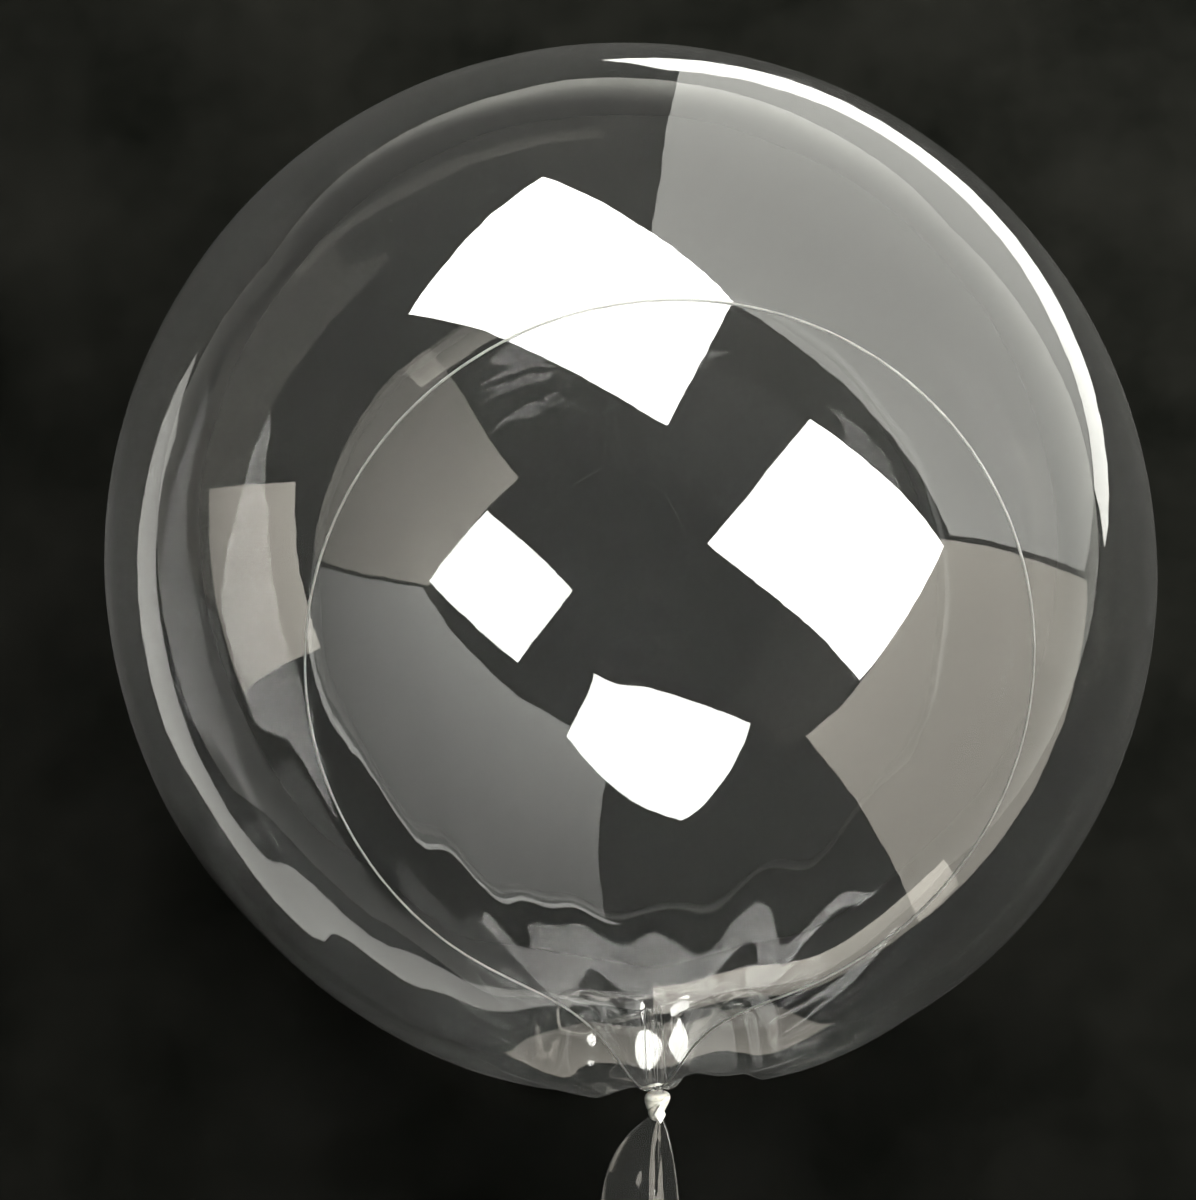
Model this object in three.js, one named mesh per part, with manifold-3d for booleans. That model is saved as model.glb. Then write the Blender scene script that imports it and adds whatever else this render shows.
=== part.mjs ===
// A clear bubble balloon that lies on its side: a sealed ball of stretched film, gathered in pleats
// into a thin throat, the band wound tight round that throat, and the open sleeve beyond it.
// Millimetres, +Z up. The origin is the middle of the flat spot under the ball, and the neck
// points along -Y.

import * as THREE from "three";
import { mergeVertices } from "three/addons/utils/BufferGeometryUtils.js";
import Module from "manifold-3d";

const wasm = await Module();
wasm.setup();

const TURN = 2 * Math.PI;
const { lerp, mapLinear, degToRad } = THREE.MathUtils;

// Ball
const ballRadius = 250;
const ovalness = 0.0075;
const ovalHeading = degToRad(139);
const flatSpotRadius = 35;
const ballHeight = Math.sqrt(ballRadius ** 2 - flatSpotRadius ** 2);
const ballRings = 30;
const filmSides = 60;

// Funnel, where the ball is drawn out and pleated towards the throat
const funnelRadius = 55;
const funnelRings = 9;
const drawOut = 7;
const drawOutReach = 14;
const pleatCount = 10;
const pleatHeight = 2.5;
const pleatReach = 20;

// Throat, with its end and the tie's ends measured past the ball's surface
const throatTopRadius = 4.2;
const throatEndRadius = 2;
const throatEnd = 22;
const throatRings = 4;

// Tie
const tieStart = 6;
const tieEnd = 21.5;
const tieTopRadius = 5.6;
const tieEndRadius = 2.8;
const tieGap = 0.3;
const wrapPitch = 4.6;
const wrapBulge = 1.1;
const tieRings = 17;
const tieSides = 32;
const looseEndPast = 14.5;
const looseEndLength = 8;
const looseEndWidth = 5;
const looseEndThickness = 1;

// Sleeve
const sleeveLength = 72;
const sleeveHalfWidth = 21;
const sleeveHalfGap = 6;
const sleeveWall = 0.8;
const sleeveFlare = 17;
const sleeveLean = 0.55;
const sleeveDroop = 0.06;
const sleeveWave = 2.4;
const sleeveRings = 11;
const pocketStart = 12;
const mouthSlant = 0.05;

const filmMaterial = new THREE.MeshStandardMaterial({
  color: 0xe6e9ea,
  roughness: 0.06,
  metalness: 0,
  transparent: true,
  opacity: 0.22,
});
const bandMaterial = new THREE.MeshStandardMaterial({
  color: 0xe6e4d6,
  roughness: 0.5,
  metalness: 0,
});

// A point given by its x and z from the ball's centre and its reach from there towards the neck.
// The blown ball is a little longer along one level heading than across it, so all is stretched.
function placed(x, reach, z) {
  const point = new THREE.Vector3(x, -reach, ballHeight + z);
  const long = new THREE.Vector3(Math.cos(ovalHeading), Math.sin(ovalHeading), 0);
  const short = new THREE.Vector3(-long.y, long.x, 0);
  const alongLong = ovalness * point.dot(long);
  const alongShort = ovalness * point.dot(short);
  return point.addScaledVector(long, alongLong).addScaledVector(short, -alongShort);
}

// A ring of points, where outline(angle) gives the x, reach and z of each.
function ring(sides, outline) {
  return Array.from({ length: sides }, (_, side) => placed(...outline((TURN * side) / sides)));
}

function roundRing(sides, radius, reach) {
  return ring(sides, (angle) => [radius * Math.cos(angle), reach, radius * Math.sin(angle)]);
}

function middleOf(points) {
  const sum = new THREE.Vector3();
  points.forEach((point) => sum.add(point));
  return sum.divideScalar(points.length);
}

// A closed skin over rings with the same number of points, from a start point to the last middle.
function closedSkin(rings, start = middleOf(rings[0])) {
  const sides = rings[0].length;
  const last = rings.length - 1;
  const points = [start, ...rings.flat(), middleOf(rings[last])];
  const at = (row, side) => 1 + row * sides + (side % sides);
  const index = [];
  for (let side = 0; side < sides; side++) {
    index.push(0, at(0, side + 1), at(0, side));
    for (let row = 0; row < last; row++) {
      index.push(at(row, side), at(row, side + 1), at(row + 1, side));
      index.push(at(row, side + 1), at(row + 1, side + 1), at(row + 1, side));
    }
    index.push(points.length - 1, at(last, side), at(last, side + 1));
  }
  const geometry = new THREE.BufferGeometry().setFromPoints(points);
  geometry.setIndex(index);
  return geometry;
}

function toSolid(geometry) {
  geometry.deleteAttribute("normal");
  geometry.deleteAttribute("uv");
  const shared = mergeVertices(geometry);
  const vertProperties = new Float32Array(shared.getAttribute("position").array);
  const triVerts = new Uint32Array(shared.getIndex().array);
  return new wasm.Manifold(new wasm.Mesh({ numProp: 3, vertProperties, triVerts }));
}

function toGeometry(solid) {
  const mesh = solid.getMesh();
  const geometry = new THREE.BufferGeometry();
  geometry.setAttribute("position", new THREE.BufferAttribute(mesh.vertProperties, 3));
  geometry.setIndex(new THREE.BufferAttribute(mesh.triVerts, 1));
  geometry.computeVertexNormals();
  return geometry;
}

// The ball, from its far pole to where the pleats begin.
function ballSkin() {
  const neckAngle = Math.PI - Math.asin(funnelRadius / ballRadius);
  const rings = [];
  for (let step = 1; step < ballRings; step++) {
    const polar = (neckAngle * step) / ballRings;
    const radius = ballRadius * Math.sin(polar);
    rings.push(roundRing(filmSides, radius, -ballRadius * Math.cos(polar)));
  }
  return rings;
}

// How far the film reaches towards the neck, at a distance from the neck's axis.
function funnelReach(radius) {
  const ball = Math.sqrt(ballRadius ** 2 - radius ** 2);
  return ball + drawOut * Math.exp(-radius / drawOutReach);
}

// Height of the pleats, greatest a little way out from the throat and fading over the ball.
function pleat(radius, angle) {
  const share = radius / pleatReach;
  const fade = share ** 2 * Math.exp(2 - 2 * share);
  const uneven = 0.7 + 0.3 * Math.cos(3 * angle + 1);
  return pleatHeight * fade * uneven * Math.cos(pleatCount * angle + 0.9 * Math.sin(2 * angle));
}

function funnelSkin() {
  const rings = [];
  for (let step = 0; step <= funnelRings; step++) {
    const radius = funnelRadius * (throatTopRadius / funnelRadius) ** (step / funnelRings);
    rings.push(
      ring(filmSides, (angle) => [
        radius * Math.cos(angle),
        funnelReach(radius) + pleat(radius, angle),
        radius * Math.sin(angle),
      ]),
    );
  }
  return rings;
}

const throatTop = funnelReach(throatTopRadius) - ballRadius;

function throatRadius(past) {
  return mapLinear(past, throatTop, throatEnd, throatTopRadius, throatEndRadius);
}

function throatSkin() {
  const rings = [];
  for (let step = 1; step <= throatRings; step++) {
    const past = lerp(throatTop, throatEnd, step / throatRings);
    rings.push(roundRing(filmSides, throatRadius(past), ballRadius + past));
  }
  return rings;
}

// A ring of the sleeve, at a distance past the throat. The sleeve is a flattened tube that flares
// out to one side and droops a little. A crease parts a broad lobe from a narrow one.
function sleeveRing(along, inset) {
  const open = 1 - Math.exp(-along / sleeveFlare);
  const halfWidth = lerp(throatEndRadius, sleeveHalfWidth, open);
  const halfGap = lerp(throatEndRadius, sleeveHalfGap, along / sleeveLength);
  const middle = -sleeveLean * (halfWidth - throatEndRadius);
  return ring(filmSides, (angle) => {
    const across = (halfWidth - inset) * Math.cos(angle);
    const lobe = Math.cos((Math.PI * (across / halfWidth + 0.25)) / 0.75);
    return [
      middle + across,
      ballRadius + throatEnd + along + mouthSlant * open * across,
      sleeveWave * open * lobe - sleeveDroop * along + (halfGap - inset) * Math.sin(angle),
    ];
  });
}

// The outside of the sleeve down to its mouth, then its inside back to the end of the pocket.
function sleeveSkin() {
  const rings = [];
  for (let step = 1; step <= sleeveRings; step++) {
    rings.push(sleeveRing(sleeveLength * (step / sleeveRings) ** 1.4, 0));
  }
  for (let step = sleeveRings; step >= 0; step--) {
    rings.push(sleeveRing(lerp(pocketStart, sleeveLength, step / sleeveRings), sleeveWall));
  }
  return rings;
}

function filmGeometry() {
  const rings = [...ballSkin(), ...funnelSkin(), ...throatSkin(), ...sleeveSkin()];
  const skin = closedSkin(rings, placed(0, -ballRadius, 0));
  const under = new THREE.BoxGeometry(ballRadius, ballRadius, ballRadius);
  under.translate(0, 0, -ballRadius / 2);
  return toGeometry(toSolid(skin).subtract(toSolid(under)));
}

// The wraps climb round the throat in one helix and get smaller towards the sleeve.
function tieRadius(along, angle) {
  const share = along / (tieEnd - tieStart);
  const wrap = Math.abs(Math.sin(Math.PI * (along / wrapPitch - angle / TURN))) ** 0.6;
  return lerp(tieTopRadius, tieEndRadius, share) + wrapBulge * lerp(1, 0.5, share) * wrap;
}

function wrapSkin() {
  const rings = [];
  for (let step = 0; step <= tieRings; step++) {
    const along = lerp(0, tieEnd - tieStart, step / tieRings);
    rings.push(
      ring(tieSides, (angle) => [
        tieRadius(along, angle) * Math.cos(angle),
        ballRadius + tieStart + along,
        tieRadius(along, angle) * Math.sin(angle),
      ]),
    );
  }
  return rings;
}

// The loose end of the band, a flat pointed tip that stands off the top of the last wraps.
function looseEnd() {
  const outline = new THREE.Shape();
  outline.moveTo(0, -looseEndLength / 2);
  outline.lineTo(looseEndWidth / 2, 0);
  outline.lineTo(0, looseEndLength / 2);
  outline.lineTo(-looseEndWidth / 2, 0);
  const tip = new THREE.ExtrudeGeometry(outline, { depth: looseEndThickness, bevelEnabled: false });
  const length = new THREE.Vector3(0.7, -0.7, 0.1).normalize();
  const normal = new THREE.Vector3(0.35, 0.2, 1).cross(length).cross(length).negate().normalize();
  const side = new THREE.Vector3().crossVectors(length, normal);
  tip.applyMatrix4(new THREE.Matrix4().makeBasis(side, length, normal));
  const root = placed(2, ballRadius + looseEndPast, tieRadius(looseEndPast - tieStart, TURN / 4));
  tip.translate(root.x, root.y, root.z - looseEndThickness);
  return tip;
}

function tieGeometry() {
  const bore = closedSkin([
    roundRing(tieSides, throatRadius(throatTop - 1) + tieGap, ballRadius + throatTop - 1),
    roundRing(tieSides, throatRadius(throatEnd + 1) + tieGap, ballRadius + throatEnd + 1),
  ]);
  const band = toSolid(closedSkin(wrapSkin())).add(toSolid(looseEnd()));
  return toGeometry(band.subtract(toSolid(bore)));
}

function named(name, geometry, material) {
  const mesh = new THREE.Mesh(geometry, material);
  mesh.name = name;
  return mesh;
}

const balloon = new THREE.Group();
balloon.add(named("balloon_film", filmGeometry(), filmMaterial));
balloon.add(named("neck_tie", tieGeometry(), bandMaterial));

export default balloon;
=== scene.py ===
"""A clear bubble balloon, blown up and tied off, lying on its side on a dark board.

Metres, +Z up. The origin is the middle of the flat spot under the ball, and the neck points along -Y.
"""

import math

import bpy
from mathutils import Matrix, Quaternion, Vector, geometry, noise


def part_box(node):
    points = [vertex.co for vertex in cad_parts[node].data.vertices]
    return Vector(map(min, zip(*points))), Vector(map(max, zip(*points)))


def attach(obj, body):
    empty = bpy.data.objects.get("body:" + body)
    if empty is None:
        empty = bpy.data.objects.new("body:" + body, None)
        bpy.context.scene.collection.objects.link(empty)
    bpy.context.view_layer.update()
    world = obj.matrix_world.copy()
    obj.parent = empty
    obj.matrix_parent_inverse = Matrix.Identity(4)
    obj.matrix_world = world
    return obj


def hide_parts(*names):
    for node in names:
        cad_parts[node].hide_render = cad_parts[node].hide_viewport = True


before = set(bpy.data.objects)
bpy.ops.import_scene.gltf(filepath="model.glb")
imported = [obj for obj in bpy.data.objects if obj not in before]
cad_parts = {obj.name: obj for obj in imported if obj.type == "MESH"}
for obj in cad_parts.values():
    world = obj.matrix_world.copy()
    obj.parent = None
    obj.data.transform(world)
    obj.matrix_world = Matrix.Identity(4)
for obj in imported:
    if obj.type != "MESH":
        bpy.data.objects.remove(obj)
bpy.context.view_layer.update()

# --- Balloon film ---------------------------------------------------------------------------
# Clear stretch film: the blown ball, the neck where it is drawn in and gathers in pleats, the
# thin throat under the tie and the open flat sleeve beyond. It is heat sealed from two flat
# sheets and takes its round shape from the air alone, so it is a little uneven everywhere.
ball_radius = 0.25
ovalness = 0.0075
oval_heading = math.radians(139)
film_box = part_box("balloon_film")
ball_height = film_box[1].z - ball_radius
film_gauge = 0.0002
settle_softness = 0.0004
film_sides = 192
film_ball_rings = 108

# Beyond the ball, rings are counted from the edge of the drawn-in neck to the sleeve's mouth.
neck_rings = 44
throat_rings = 8
sleeve_rings = 84
ring_step = 0.001

# The neck's section: it leaves the ball at the edge, dips to the lip and comes out to the throat.
neck_edge_radius = 0.066
neck_edge_pull = 0.014
lip_radius = 0.034
lip_depth = 0.036
lip_outer_pull = 0.012
lip_inner_pull = 0.02
shoulder_out = 0.016
shoulder_back = 0.0025
neck_widening = 0.4
throat_top = 0.0055
throat_top_radius = 0.0042
throat_end = 0.0185
throat_end_radius = 0.002

# Waves in the gathered film: how many go round, how far each stands out, the radius where they
# are highest, how far and how often their spacing sways, and the turn they start at.
pleat_waves = (
    (8, 0.0026, 0.014, 0.9, 2, 1.2),
    (5, 0.0028, 0.055, 1.6, 2, 2),
    (14, 0.0012, 0.095, 2.4, 1, 1),
)
# Single folds over the throat: how far each stands out, the angle it lies at, and its width.
neck_folds = ((0.0045, 1.95, 0.3), (-0.003, 1.25, 0.3))
neck_fold_radius = 0.04
tucks_round = 17
tuck_height = 0.0004
tuck_radius = 0.015
tuck_sway = 2.2
tuck_sway_start = 0.4
tuck_level = 0.65
tuck_softness = 0.02

# Long faint pleats round the ball's sides, in two spacings, and the film's own small waves.
long_pleat_height = 0.0009
long_pleat_reach = 1.25
long_pleat_least = 0.08
long_pleats_round = 26
long_pleat_sway = 2.1
long_pleat_sways = 3
wide_pleats_round = 11
wide_pleat_start = 1.3
wide_pleat_share = 0.6
broad_wave_height = 0.0005
broad_waves_per_metre = 8
small_wave_height = 0.0002
small_waves_per_metre = 24

# The sleeve leans to one side and sags, and its two sheets stand a little apart.
sleeve_length = 0.0755
sleeve_half_width = 0.021
sleeve_half_gap = 0.006
sleeve_flare = 0.018
sleeve_lean = 0.64
sleeve_droop = 0.06
sleeve_wave = 0.0016
sleeve_wave_shift = 0.25
sleeve_wave_span = 0.75
mouth_slant = 0.05
# Creases along the sleeve: the angle each lies at, its width, and its height as a share.
sleeve_creases = (
    (0.9, 0.1, -1.3), (1.35, 0.05, 1.6), (1.75, 0.14, -1.1),
    (2.5, 0.09, 1.0), (4.1, 0.12, -1.2), (5.2, 0.1, 1.2),
)
crease_height = 0.0009
crumple_height = 0.0017
crumples_across = 130
crumples_along = 60


def lerp(start, end, share):
    return start + (end - start) * share


def placed(x, reach, z):
    """A point by its x and z from the ball's middle and its reach from there towards the neck."""
    point = Vector((x, -reach, ball_height + z))
    long_way = Vector((math.cos(oval_heading), math.sin(oval_heading), 0))
    short_way = Vector((-long_way.y, long_way.x, 0))
    stretch = ovalness * point.dot(long_way) * long_way - ovalness * point.dot(short_way) * short_way
    return point + stretch


def neck_section():
    """The section from the ball through the neck to the throat, each point a radius and a reach."""
    edge_reach = math.sqrt(ball_radius**2 - neck_edge_radius**2)
    edge = Vector((neck_edge_radius, edge_reach))
    along_ball = Vector((-1, neck_edge_radius / edge_reach))
    lip = Vector((lip_radius, ball_radius - lip_depth))
    outwards = Vector((1, 0))
    throat = Vector((throat_top_radius, ball_radius + throat_top))
    shoulder = throat + Vector((shoulder_out, -shoulder_back))
    points = neck_rings // 2 + 1
    outer = geometry.interpolate_bezier(
        edge, edge + neck_edge_pull * along_ball, lip + lip_outer_pull * outwards, lip, points
    )
    inner = geometry.interpolate_bezier(
        lip, lip - lip_inner_pull * outwards, shoulder, throat, points
    )
    return outer + inner[1:]


def hump(distance, peak):
    """Rises from 0 to 1 at the peak distance and fades away again."""
    share = distance / peak
    return share**2 * math.exp(2 - 2 * share)


def pillows(angle):
    """Round lobes with sharp valleys between them, as film gathers round a neck."""
    return math.sqrt(math.cos(angle / 2) ** 2 + tuck_softness) - tuck_level


def pleats(radius, angle):
    """How far the gathered film stands out towards the neck."""
    out = 0
    for count, height, peak, sway, sways, start in pleat_waves:
        turn = count * angle + sway * math.sin(sways * angle) + start
        out += hump(radius, peak) * height * math.cos(turn)
    for height, at, width in neck_folds:
        out += hump(radius, neck_fold_radius) * height * math.exp(-(((angle - at) / width) ** 2))
    tuck_turn = tucks_round * angle + tuck_sway * math.sin(angle + tuck_sway_start)
    return out + hump(radius, tuck_radius) * tuck_height * pillows(tuck_turn)


def long_pleats(point):
    """Faint pleats that run from the neck far round the ball's sides, as a distance outwards."""
    angle = math.atan2(point.z, point.x)
    from_neck = math.acos(max(-1, min(1, -point.y / point.length)))
    side = math.cos(angle) ** 2
    fade = math.sin(min(from_neck, math.pi)) * math.exp(-((from_neck / long_pleat_reach) ** 4))
    sway = long_pleat_sway * math.sin(long_pleat_sways * angle)
    wave = math.cos(long_pleats_round * angle + sway)
    wave += wide_pleat_share * math.cos(wide_pleats_round * angle + wide_pleat_start)
    return long_pleat_height * lerp(long_pleat_least, 1, side) * fade * wave


def unevenness(point):
    """The blown film's own small waves, as a distance outwards."""
    elsewhere = Vector((3, 1, 4))
    broad = noise.noise(point * broad_waves_per_metre)
    small = noise.noise(point * small_waves_per_metre + elsewhere)
    return broad_wave_height * broad + small_wave_height * small


def ball_point(on_sphere):
    """A point of the blown ball, from the same point on a true sphere round its middle."""
    swell = unevenness(on_sphere) + long_pleats(on_sphere)
    point = on_sphere.normalized() * (ball_radius + swell)
    if on_sphere.y < 0:
        angle = math.atan2(on_sphere.z, on_sphere.x)
        point.y -= pleats(math.hypot(on_sphere.x, on_sphere.z), angle)
    return placed(point.x, -point.y, point.z)


def neck_point(ring, angle):
    """A point of the gathered neck, on its section's ring and at an angle round it."""
    rows = (max(ring - 1, 0), ring, min(ring + 1, neck_rings))
    before, at, after = (neck_profile[row] for row in rows)
    outward = Vector((after.y - before.y, before.x - after.x)).normalized()
    radius, reach = at + outward * pleats(at.x, angle)
    widened = 1 + neck_widening * math.sin(math.pi * ring / neck_rings) ** 2
    return placed(radius * widened * math.cos(angle), reach, radius * math.sin(angle))


def throat_point(share, angle):
    """A point of the thin throat, by its share of the way along and its angle."""
    reach = ball_radius + lerp(throat_top, throat_end, share)
    radius = lerp(throat_top_radius, throat_end_radius, share)
    return placed(radius * math.cos(angle), reach, radius * math.sin(angle))


def crease(angle, at, width):
    """1 on the crease's line, falling away on both sides of it."""
    turn = abs((angle - at + math.pi) % (2 * math.pi) - math.pi)
    return math.exp(-turn / width)


def sleeve_point(share, angle):
    """A point of the flat sleeve, which opens from the throat and leans to one side."""
    along = share * sleeve_length
    opened = 1 - math.exp(-along / sleeve_flare)
    half_width = lerp(throat_end_radius, sleeve_half_width, opened)
    half_gap = lerp(throat_end_radius, sleeve_half_gap, share)
    middle = -sleeve_lean * (half_width - throat_end_radius)
    across = half_width * math.cos(angle)
    sheet = math.copysign(3, math.sin(angle))
    crumple = noise.noise(Vector((across * crumples_across, along * crumples_along, 2 + sheet)))
    folds = sum(height * crease(angle, at, width) for at, width, height in sleeve_creases)
    wave = math.cos(math.pi * (across / half_width + sleeve_wave_shift) / sleeve_wave_span)
    lift = sleeve_wave * opened * wave - sleeve_droop * along + half_gap * math.sin(angle)
    lift += opened * crease_height * folds
    lift += opened * crumple_height * crumple * abs(math.sin(angle))
    reach = ball_radius + throat_end + along + mouth_slant * opened * across
    return placed(middle + across, reach, lift)


bpy.ops.object.select_all(action="DESELECT")
bpy.ops.mesh.primitive_uv_sphere_add(
    segments=film_sides,
    ring_count=film_ball_rings,
    radius=ball_radius,
    rotation=(math.radians(90), 0, 0),
)
film = bpy.context.object
film.name = film.data.name = "film_ball_and_sleeve"
bpy.ops.object.transform_apply(location=False, rotation=True, scale=False)
bpy.ops.object.mode_set(mode="EDIT")
bpy.ops.mesh.select_all(action="SELECT")
cut_reach = math.sqrt(ball_radius**2 - neck_edge_radius**2)
bpy.ops.mesh.bisect(plane_co=(0, -cut_reach, 0), plane_no=(0, -1, 0), clear_outer=True)
bpy.ops.mesh.select_all(action="DESELECT")
bpy.ops.mesh.select_mode(type="EDGE")
bpy.ops.mesh.select_non_manifold(
    extend=False,
    use_wire=False,
    use_boundary=True,
    use_multi_face=False,
    use_non_contiguous=False,
    use_verts=False,
)
for ring in range(neck_rings + throat_rings + sleeve_rings):
    bpy.ops.mesh.extrude_edges_move(TRANSFORM_OT_translate={"value": (0, -ring_step, 0)})
bpy.ops.object.mode_set(mode="OBJECT")

neck_profile = neck_section()
for vertex in film.data.vertices:
    x, y, z = vertex.co
    angle = math.atan2(z, x)
    ring = round((-y - cut_reach) / ring_step)
    if ring <= 0:
        vertex.co = ball_point(vertex.co)
    elif ring <= neck_rings:
        vertex.co = neck_point(ring, angle)
    elif ring <= neck_rings + throat_rings:
        vertex.co = throat_point((ring - neck_rings) / throat_rings, angle)
    else:
        vertex.co = sleeve_point((ring - neck_rings - throat_rings) / sleeve_rings, angle)
    # Below the level it lies on, the film is pressed flat, with a soft edge round the flat spot.
    height = vertex.co.z
    vertex.co.z = (height + math.sqrt(height**2 + settle_softness**2)) / 2
bpy.ops.object.mode_set(mode="EDIT")
bpy.ops.mesh.select_all(action="SELECT")
bpy.ops.mesh.normals_make_consistent(inside=False)
bpy.ops.object.mode_set(mode="OBJECT")
bpy.ops.object.shade_smooth()

film_wall = film.modifiers.new("wall", "SOLIDIFY")
film_wall.thickness = film_gauge
film_wall.offset = -1
bpy.ops.object.modifier_apply(modifier=film_wall.name)


def new_finish(name):
    """A new material, and the shader that holds its colour and gloss."""
    finish = bpy.data.materials.new(name)
    finish.use_nodes = True
    return finish, finish.node_tree.nodes["Principled BSDF"]


def marks_on(finish, per_metre, detail):
    """Small irregular marks over a finish, by how many there are to the metre each way."""
    nodes = finish.node_tree.nodes
    links = finish.node_tree.links
    space = nodes.new("ShaderNodeTexCoord")
    spacing = nodes.new("ShaderNodeMapping")
    spacing.inputs["Scale"].default_value = per_metre
    marks = nodes.new("ShaderNodeTexNoise")
    marks.inputs["Scale"].default_value = 1
    marks.inputs["Detail"].default_value = detail
    links.new(space.outputs["Object"], spacing.inputs["Vector"])
    links.new(spacing.outputs["Vector"], marks.inputs["Vector"])
    return marks


def raise_marks(finish, marks, strength, depth):
    """Gives the marks a shallow relief."""
    relief = finish.node_tree.nodes.new("ShaderNodeBump")
    relief.inputs["Strength"].default_value = strength
    relief.inputs["Distance"].default_value = depth
    shader = finish.node_tree.nodes["Principled BSDF"]
    finish.node_tree.links.new(marks.outputs["Fac"], relief.inputs["Height"])
    finish.node_tree.links.new(relief.outputs["Normal"], shader.inputs["Normal"])


clear_film, shader = new_finish("clear_stretch_film")
shader.inputs["Base Color"].default_value = (0.97, 0.975, 0.98, 1)
shader.inputs["Transmission Weight"].default_value = 0.995
shader.inputs["IOR"].default_value = 1.49
shader.inputs["Roughness"].default_value = 0.0
shader.inputs["Sheen Weight"].default_value = 0.045
shader.inputs["Sheen Roughness"].default_value = 0.35
draw_marks = marks_on(clear_film, per_metre=(70, 70, 70), detail=2)
raise_marks(clear_film, draw_marks, strength=0.25, depth=0.0001)
film.data.materials.clear()
film.data.materials.append(clear_film)

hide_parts("balloon_film")
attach(film, "root")

# --- Welded seam ----------------------------------------------------------------------------
# The two sheets are welded along one closed line, which the blown ball shows as a thin milky
# ridge. It leaves the gathered neck, sweeps round over the ball and runs back into the neck.
seam_axis = Vector((0.0682, -0.3276, 0.9424)).normalized()
seam_forward = Vector((0, -1, 0))
seam_forward = (seam_forward - seam_forward.dot(seam_axis) * seam_axis).normalized()
seam_across = seam_axis.cross(seam_forward)
# The seam's angle from its axis in degrees, round the ball and at the neck, and how quickly the
# second gives way to the first on the neck's left and on its right.
seam_spread = 30.1
seam_neck_spread = 69.7
seam_left_pull = 0.167
seam_right_pull = 1.155
seam_right_bend = 0.4

seam_widest_turn = 60.0
seam_turn_halvings = 30
just_outside = 1.01
seam_half_width = 0.00042
seam_neck_width = 0.45
seam_full_width_from = 0.12
seam_steps = 220
seam_step_growth = 1.6


def seam_direction(turn):
    """Turn runs from -180 to 180 degrees round the seam's axis, with the neck at 0."""
    if turn < 0:
        pull = math.exp(-seam_left_pull * -turn)
    else:
        pull = math.exp(-seam_right_pull * turn**seam_right_bend)
    spread = math.radians(lerp(seam_spread, seam_neck_spread, pull))
    round_way = math.radians(turn)
    side = math.cos(round_way) * seam_forward + math.sin(round_way) * seam_across
    return math.cos(spread) * seam_axis + math.sin(spread) * side


def seam_round_neck(ring, side):
    """Where the seam crosses a ring of the gathered neck, on the side given by -1 or 1."""
    near, far = 0.0, seam_widest_turn
    for halving in range(seam_turn_halvings):
        turn = (near + far) / 2
        direction = seam_direction(side * turn)
        if ball_radius * math.hypot(direction.x, direction.z) < neck_profile[ring].x:
            near = turn
        else:
            far = turn
    return neck_point(ring, math.atan2(direction.z, direction.x)), near


ball_middle = Vector((0, 0, ball_height))
seam_points = []
for side in (-1, 1):
    neck_run = [seam_round_neck(ring, side) for ring in range(neck_rings, -1, -1)]
    first_turn = neck_run[-1][1]
    half = [point for point, turn in neck_run]
    for step in range(1, seam_steps + 1):
        turn = lerp(first_turn, 180, (step / seam_steps) ** seam_step_growth)
        outside = ball_middle + seam_direction(side * turn) * ball_radius * just_outside
        half.append(film.closest_point_on_mesh(outside)[1])
    seam_points += half if side < 0 else half[-2::-1]
seam_curve = bpy.data.curves.new("film_seam", "CURVE")
seam_curve.dimensions = "3D"
spline = seam_curve.splines.new("POLY")
spline.points.add(len(seam_points) - 1)
for spline_point, point in zip(spline.points, seam_points):
    from_neck = (point - Vector((0, -ball_radius, ball_height))).length
    spline_point.co = (*point, 1)
    spline_point.radius = lerp(seam_neck_width, 1, min(1, from_neck / seam_full_width_from))
seam_curve.bevel_depth = seam_half_width
seam_curve.bevel_resolution = 2
seam_curve.use_fill_caps = True
seam = bpy.data.objects.new("film_seam", seam_curve)
bpy.context.collection.objects.link(seam)
bpy.ops.object.select_all(action="DESELECT")
seam.select_set(True)
bpy.context.view_layer.objects.active = seam
bpy.ops.object.convert(target="MESH")
seam = bpy.context.object
bpy.ops.object.shade_smooth()


def tone_marks(finish, marks, dark_from, dark, light_from, light):
    """Colours the finish between two tones, by how strong its marks are."""
    tones = finish.node_tree.nodes.new("ShaderNodeValToRGB")
    first, last = tones.color_ramp.elements
    first.position = dark_from
    first.color = (*dark, 1)
    last.position = light_from
    last.color = (*light, 1)
    shader = finish.node_tree.nodes["Principled BSDF"]
    finish.node_tree.links.new(marks.outputs["Fac"], tones.inputs["Fac"])
    finish.node_tree.links.new(tones.outputs["Color"], shader.inputs["Base Color"])


milky_weld, shader = new_finish("milky_weld")
shader.inputs["Transmission Weight"].default_value = 0.84
heat_marks = marks_on(milky_weld, per_metre=(160, 160, 160), detail=2)
tone_marks(
    milky_weld, heat_marks,
    dark_from=0.3, dark=(0.42, 0.42, 0.41), light_from=0.7, light=(0.68, 0.68, 0.66),
)
weld_polish = milky_weld.node_tree.nodes.new("ShaderNodeMapRange")
weld_polish.inputs["To Min"].default_value = 0.3
weld_polish.inputs["To Max"].default_value = 0.5
milky_weld.node_tree.links.new(heat_marks.outputs["Fac"], weld_polish.inputs["Value"])
milky_weld.node_tree.links.new(weld_polish.outputs["Result"], shader.inputs["Roughness"])
seam.data.materials.clear()
seam.data.materials.append(milky_weld)
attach(seam, "root")

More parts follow.
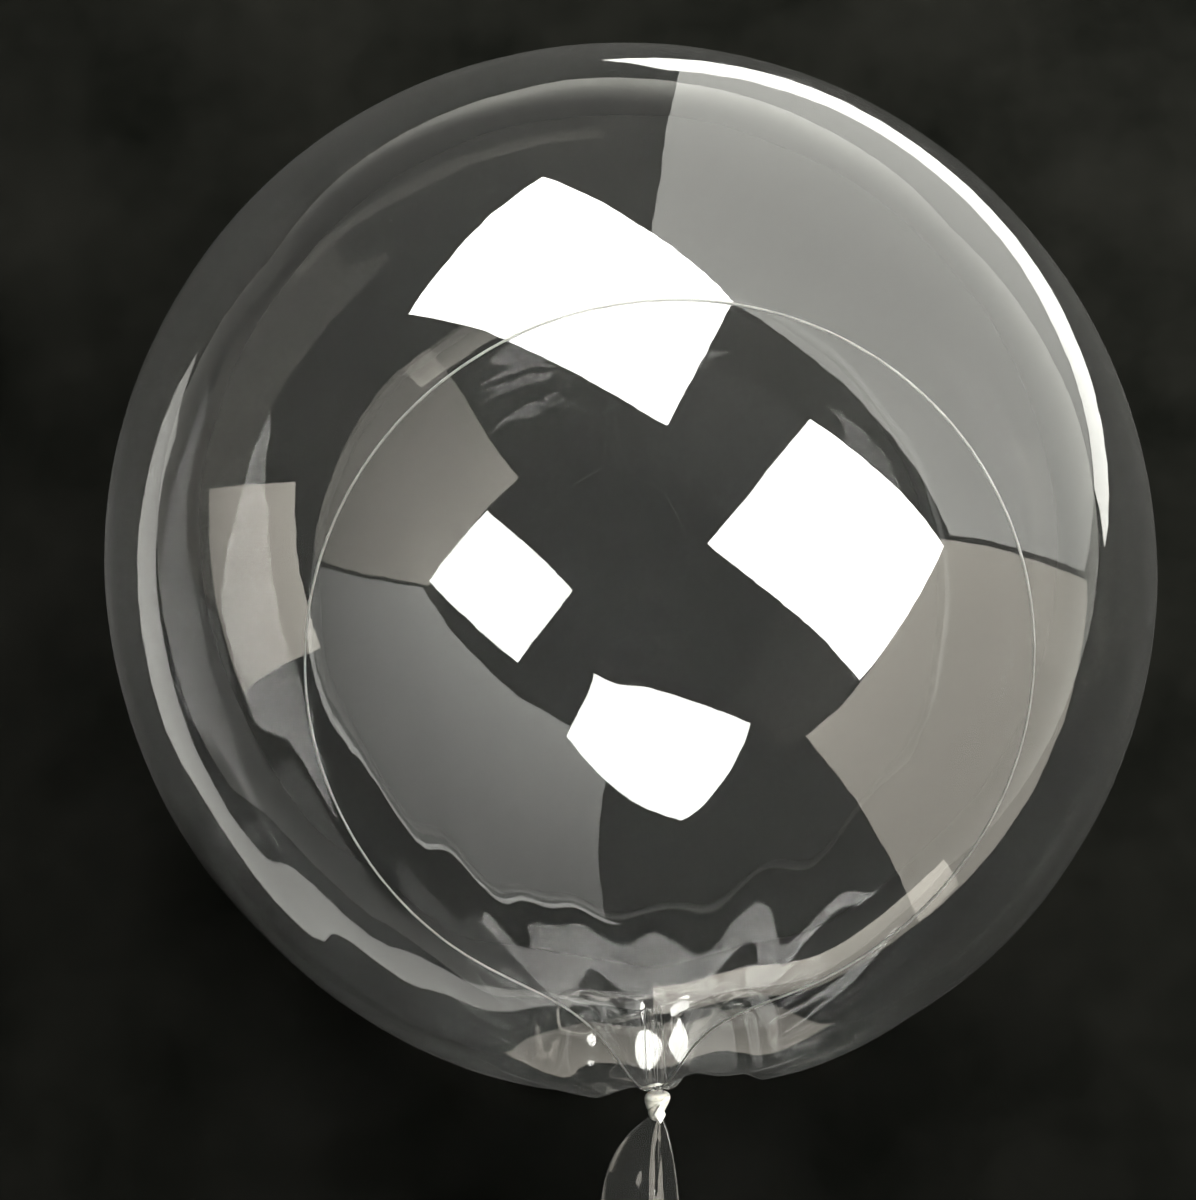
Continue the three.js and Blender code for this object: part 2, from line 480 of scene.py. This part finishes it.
# --- Neck tie -------------------------------------------------------------------------------
# A soft ivory band stretched and wound tight down the thin throat in slanting wraps, each
# bulging over the one before. Its cut end is tucked under the last wraps and stands off them.
tie_start = 0.0085
tie_end = 0.0215
tie_top_radius = 0.0056
tie_end_radius = 0.0024
tie_taper = 1.3
tie_end_roundness = 6
tie_end_share = 0.6
wrap_rise = 0.0085
wrap_bulge = 0.0014
wrap_thinning = 0.5
wrap_sharpness = 0.55
lump_height = 0.0005
lump_start = 1.1
lump_twist = 5
tie_sides = 96
tie_rows = 72


def tie_radius(along, angle):
    """How far the wound band stands from the throat's middle line."""
    share = (along - tie_start) / (tie_end - tie_start)
    slant = along / wrap_rise - angle / math.pi
    bulge = wrap_bulge * (1 - wrap_thinning * share)
    wrap = bulge * abs(math.sin(math.pi * slant)) ** wrap_sharpness
    lump = lump_height * math.sin(angle + lump_start + lump_twist * share)
    rounded = math.sqrt(max(0, 1 - (2 * share - 1) ** tie_end_roundness))
    body = lerp(tie_top_radius, tie_end_radius, share**tie_taper)
    return (body + lump) * lerp(tie_end_share, 1, rounded) + wrap * rounded


bpy.ops.object.select_all(action="DESELECT")
bpy.ops.mesh.primitive_cylinder_add(vertices=tie_sides, radius=1, depth=1, end_fill_type="TRIFAN")
tie = bpy.context.object
tie.name = tie.data.name = "neck_tie_band"
bpy.ops.object.mode_set(mode="EDIT")
bpy.ops.mesh.select_mode(type="EDGE")
bpy.ops.mesh.select_all(action="DESELECT")
bpy.ops.object.mode_set(mode="OBJECT")
for edge in tie.data.edges:
    one, other = (tie.data.vertices[index].co for index in edge.vertices)
    edge.select = abs(one.z - other.z) > 0.5
bpy.ops.object.mode_set(mode="EDIT")
bpy.ops.mesh.subdivide_edgering(number_cuts=tie_rows - 1, interpolation="LINEAR")
bpy.ops.object.mode_set(mode="OBJECT")
for vertex in tie.data.vertices:
    x, y, z = vertex.co
    angle = math.atan2(y, x)
    along = lerp(tie_start, tie_end, 0.5 + z)
    radius = tie_radius(along, angle) if math.hypot(x, y) > 0.5 else 0
    vertex.co = placed(radius * math.cos(angle), ball_radius + along, radius * math.sin(angle))
bpy.ops.object.mode_set(mode="EDIT")
bpy.ops.mesh.select_all(action="SELECT")
bpy.ops.mesh.normals_make_consistent(inside=False)
bpy.ops.object.mode_set(mode="OBJECT")
bpy.ops.object.shade_smooth()

# The band's cut end: a thin four-cornered tab with nipped corners, bowed off the wraps.
tab_reach = 0.0175
tab_aside = 0.0012
tab_length = 0.0088
tab_width = 0.0054
tab_thickness = 0.0009
tab_stand_off = 0.0011
tab_bow = 0.003
tab_lift = 0.0012
tab_corner_cut = 0.08
bpy.ops.object.select_all(action="DESELECT")
bpy.ops.mesh.primitive_circle_add(vertices=4, radius=0.5, fill_type="NGON")
tab = bpy.context.object
tab.name = tab.data.name = "neck_tie_cut_end"
bpy.ops.object.mode_set(mode="EDIT")
bpy.ops.mesh.select_all(action="SELECT")
bpy.ops.mesh.bevel(offset=tab_corner_cut, segments=4, affect="VERTICES")
bpy.ops.mesh.select_all(action="SELECT")
bpy.ops.mesh.poke()
bpy.ops.mesh.subdivide(number_cuts=3)
bpy.ops.object.mode_set(mode="OBJECT")
for vertex in tab.data.vertices:
    x, y, z = vertex.co
    height = tie_radius(tab_reach, math.pi / 2) + tab_stand_off - tab_bow * x * x + tab_lift * y
    reach = ball_radius + tab_reach - y * tab_length
    vertex.co = placed(tab_aside + x * tab_width, reach, height)
bpy.ops.object.mode_set(mode="EDIT")
bpy.ops.mesh.select_all(action="SELECT")
bpy.ops.mesh.normals_make_consistent(inside=False)
bpy.ops.object.mode_set(mode="OBJECT")
tab_body = tab.modifiers.new("thickness", "SOLIDIFY")
tab_body.thickness = tab_thickness
tab_body.offset = 0
bpy.ops.object.modifier_apply(modifier=tab_body.name)
bpy.ops.object.shade_smooth_by_angle(angle=math.radians(40))


def band_finish(name, dark, light):
    """Satin rubbery band, mottled in streaks round the wraps."""
    finish, shader = new_finish(name)
    shader.inputs["Roughness"].default_value = 0.38
    shader.inputs["Subsurface Weight"].default_value = 0.15
    shader.inputs["Subsurface Radius"].default_value = (0.002, 0.0015, 0.001)
    mottle = marks_on(finish, per_metre=(260, 900, 260), detail=4)
    tone_marks(finish, mottle, dark_from=0.3, dark=dark, light_from=0.65, light=light)
    raise_marks(finish, mottle, strength=0.5, depth=0.0003)
    return finish


ivory_band = band_finish("ivory_band", dark=(0.46, 0.45, 0.4), light=(0.8, 0.79, 0.74))
# The cut end is the same band in lighter tones: a painted highlight for the bright shine it shows.
cut_end_painted_highlight = band_finish(
    "ivory_band_painted_highlight", dark=(0.8, 0.79, 0.74), light=(0.95, 0.95, 0.92)
)
for piece, finish in ((tie, ivory_band), (tab, cut_end_painted_highlight)):
    piece.data.materials.clear()
    piece.data.materials.append(finish)
    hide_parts("neck_tie")
    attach(piece, "root")

# --- Floor and board ------------------------------------------------------------------------
# A plain pale floor, with a plain matt black board laid on it: clear film shows only against
# something dark.
floor_size = 12
floor_drop = 0.004
board_size = 2.8
board_drop = 0.0005
bpy.ops.object.select_all(action="DESELECT")
bpy.ops.mesh.primitive_plane_add(size=floor_size, location=(0, 0, -floor_drop))
floor = bpy.context.object
floor.name = "pale_floor"
pale_floor, shader = new_finish("pale_floor")
shader.inputs["Base Color"].default_value = (0.3, 0.3, 0.29, 1)
shader.inputs["Roughness"].default_value = 0.8
floor.data.materials.append(pale_floor)

bpy.ops.object.select_all(action="DESELECT")
bpy.ops.mesh.primitive_plane_add(size=board_size, location=(0, 0, -board_drop))
board = bpy.context.object
board.name = "dark_board"
matt_black, shader = new_finish("matt_black_board")
shader.inputs["Roughness"].default_value = 1
shader.inputs["Specular IOR Level"].default_value = 0
wear = marks_on(matt_black, per_metre=(5, 5, 5), detail=9)
wear.inputs["Roughness"].default_value = 0.62
tone_marks(
    matt_black, wear,
    dark_from=0.35, dark=(0.0022, 0.0024, 0.002), light_from=0.7, light=(0.0075, 0.0075, 0.0066),
)
board.data.materials.append(matt_black)

# --- Light ----------------------------------------------------------------------------------
# Two bright softboxes overhead, which light everything. Dimmer plain panels, tall at the far and
# right sides, window-like at the left and low in front, and strips on the floor between them show
# only as soft reflections.
exposure = 2
daylight = (1, 0.998, 0.925)
cream = (1, 0.94, 0.81)
softbox_glow = 20
panel_height = 1.275
panel_foot_share = 0.3
strip_height = 0.003


def pointing(heading, climb):
    """The direction with this heading and climb, both in degrees."""
    level = math.cos(math.radians(climb))
    return Vector((
        level * math.cos(math.radians(heading)),
        level * math.sin(math.radians(heading)),
        math.sin(math.radians(climb)),
    ))


def softbox(name, middle, back, roll, width, height, glow, tint):
    """A flat soft light with its back turned to a direction, which no camera sees directly."""
    lamp = bpy.data.lights.new(name, "AREA")
    lamp.shape = "RECTANGLE"
    lamp.size = width
    lamp.size_y = height
    lamp.energy = glow * math.pi * width * height / 2**exposure
    lamp.color = tint
    box = bpy.data.objects.new(name, lamp)
    box.rotation_mode = "QUATERNION"
    box.rotation_quaternion = back.to_track_quat("Z", "Y") @ Quaternion((0, 0, 1), math.radians(roll))
    box.location = middle
    box.visible_camera = False
    bpy.context.collection.objects.link(box)
    return box


def show_in_gloss_alone(box, foot_share):
    """The light shows as a reflection, and neither through the film nor as light on the floor.

    Its foot glows less than its top, by the foot share.
    """
    box.visible_diffuse = False
    box.data.use_nodes = True
    nodes = box.data.node_tree.nodes
    links = box.data.node_tree.links
    path = nodes.new("ShaderNodeLightPath")
    once = nodes.new("ShaderNodeMath")
    once.operation = "MINIMUM"
    once.inputs[1].default_value = 1
    over_panel = nodes.new("ShaderNodeNewGeometry")
    split = nodes.new("ShaderNodeSeparateXYZ")
    shade = nodes.new("ShaderNodeMapRange")
    shade.inputs["To Min"].default_value = foot_share
    shown = nodes.new("ShaderNodeMath")
    shown.operation = "MULTIPLY"
    links.new(path.outputs["Glossy Depth"], once.inputs[0])
    links.new(over_panel.outputs["Parametric"], split.inputs["Vector"])
    links.new(split.outputs["Y"], shade.inputs["Value"])
    links.new(once.outputs["Value"], shown.inputs[0])
    links.new(shade.outputs["Result"], shown.inputs[1])
    links.new(shown.outputs["Value"], nodes["Emission"].inputs["Strength"])


def wall_panel(name, heading, distance, width, height, glow, tint, aside=0, lift=0):
    """A plain upright panel facing back along a heading, moved aside, with its foot at the lift."""
    out = pointing(heading, 0)
    left = pointing(heading + 90, 0)
    middle = out * distance + left * aside + Vector((0, 0, lift + height / 2))
    panel = softbox(name, middle, out, 0, width, height, glow, tint)
    show_in_gloss_alone(panel, foot_share=panel_foot_share)


def floor_strip(name, heading, near, far, width, glow, tint, aside=0):
    """A long soft strip that lies at floor level between two distances and shines up."""
    out = pointing(heading, 0)
    left = pointing(heading + 90, 0)
    middle = out * (near + far) / 2 + left * aside + Vector((0, 0, strip_height))
    down = Vector((0, 0, -1))
    strip = softbox(name, middle, down, 90 - heading, width, far - near, glow, tint)
    show_in_gloss_alone(strip, foot_share=1)


softbox(
    "softbox_far", ball_middle + 1.508 * pointing(89.5, 46.7), back=pointing(141.4, 46.7),
    roll=105, width=1.291, height=0.939, glow=softbox_glow, tint=daylight,
)
softbox(
    "softbox_right", ball_middle + 1.526 * pointing(-6.7, 51.1), back=pointing(-27.6, 59.4),
    roll=-105.5, width=0.936, height=0.797, glow=softbox_glow, tint=daylight,
)
wall_panel(
    "panel_far_right", heading=57, distance=0.96, aside=-0.57,
    width=2.0, height=panel_height, glow=3.2, tint=daylight,
)
wall_panel(
    "panel_right", heading=-46.5, distance=1.22, aside=0.525,
    width=1.3, height=panel_height, glow=3.45, tint=cream,
)
wall_panel(
    "window_left", heading=-178, distance=1.15, lift=0.43,
    width=0.6, height=0.47, glow=3.4, tint=cream,
)
floor_strip(
    "strip_far_right", heading=56, near=0.725, far=0.955, aside=-0.26,
    width=1.475, glow=3.2, tint=daylight,
)
floor_strip("strip_left", heading=205, near=0.78, far=1.15, width=2.4, glow=0.9, tint=daylight)
wall_panel(
    "low_panel_front", heading=-68, distance=1.2,
    width=1.0, height=0.22, glow=2.4, tint=cream,
)
floor_strip("strip_front", heading=-88, near=0.55, far=1.0, width=0.42, glow=0.45, tint=cream)

studio = bpy.data.worlds.new("studio")
studio.use_nodes = True
studio.node_tree.nodes["Background"].inputs["Color"].default_value = (0.018, 0.018, 0.0158, 1)
bpy.context.scene.world = studio
bpy.context.scene.view_settings.view_transform = "Standard"
bpy.context.scene.view_settings.exposure = exposure
bpy.context.scene.cycles.use_light_tree = False

# --- Camera ---------------------------------------------------------------------------------
# Looks down on the ball from close by, a little from the neck's side, and turned a little so
# that the ball's middle sits just off the middle of the view.
camera_distance = 0.625
camera_climb = math.radians(80.5)
camera_roll = math.radians(-3.0)
ball_middle_in_view = Vector((0.0226, 0.0234, -1)).normalized()
back = Vector((0, -math.cos(camera_climb), math.sin(camera_climb)))
up = Vector((0, math.sin(camera_climb), math.cos(camera_climb)))
right = Vector((1, 0, 0))
view_right = math.cos(camera_roll) * right + math.sin(camera_roll) * up
view_up = -math.sin(camera_roll) * right + math.cos(camera_roll) * up
straight_aim = Matrix((view_right, view_up, back)).transposed()
turn_aside = (straight_aim @ ball_middle_in_view).rotation_difference(-back).to_matrix()
lens = bpy.data.cameras.new("camera")
lens.sensor_fit = "VERTICAL"
lens.sensor_height = 24
lens.lens = 24.04
lens.clip_start = 0.01
camera = bpy.data.objects.new("camera", lens)
camera.matrix_world = (turn_aside @ straight_aim).to_4x4()
camera.location = ball_middle + back * camera_distance
bpy.context.collection.objects.link(camera)
bpy.context.scene.camera = camera
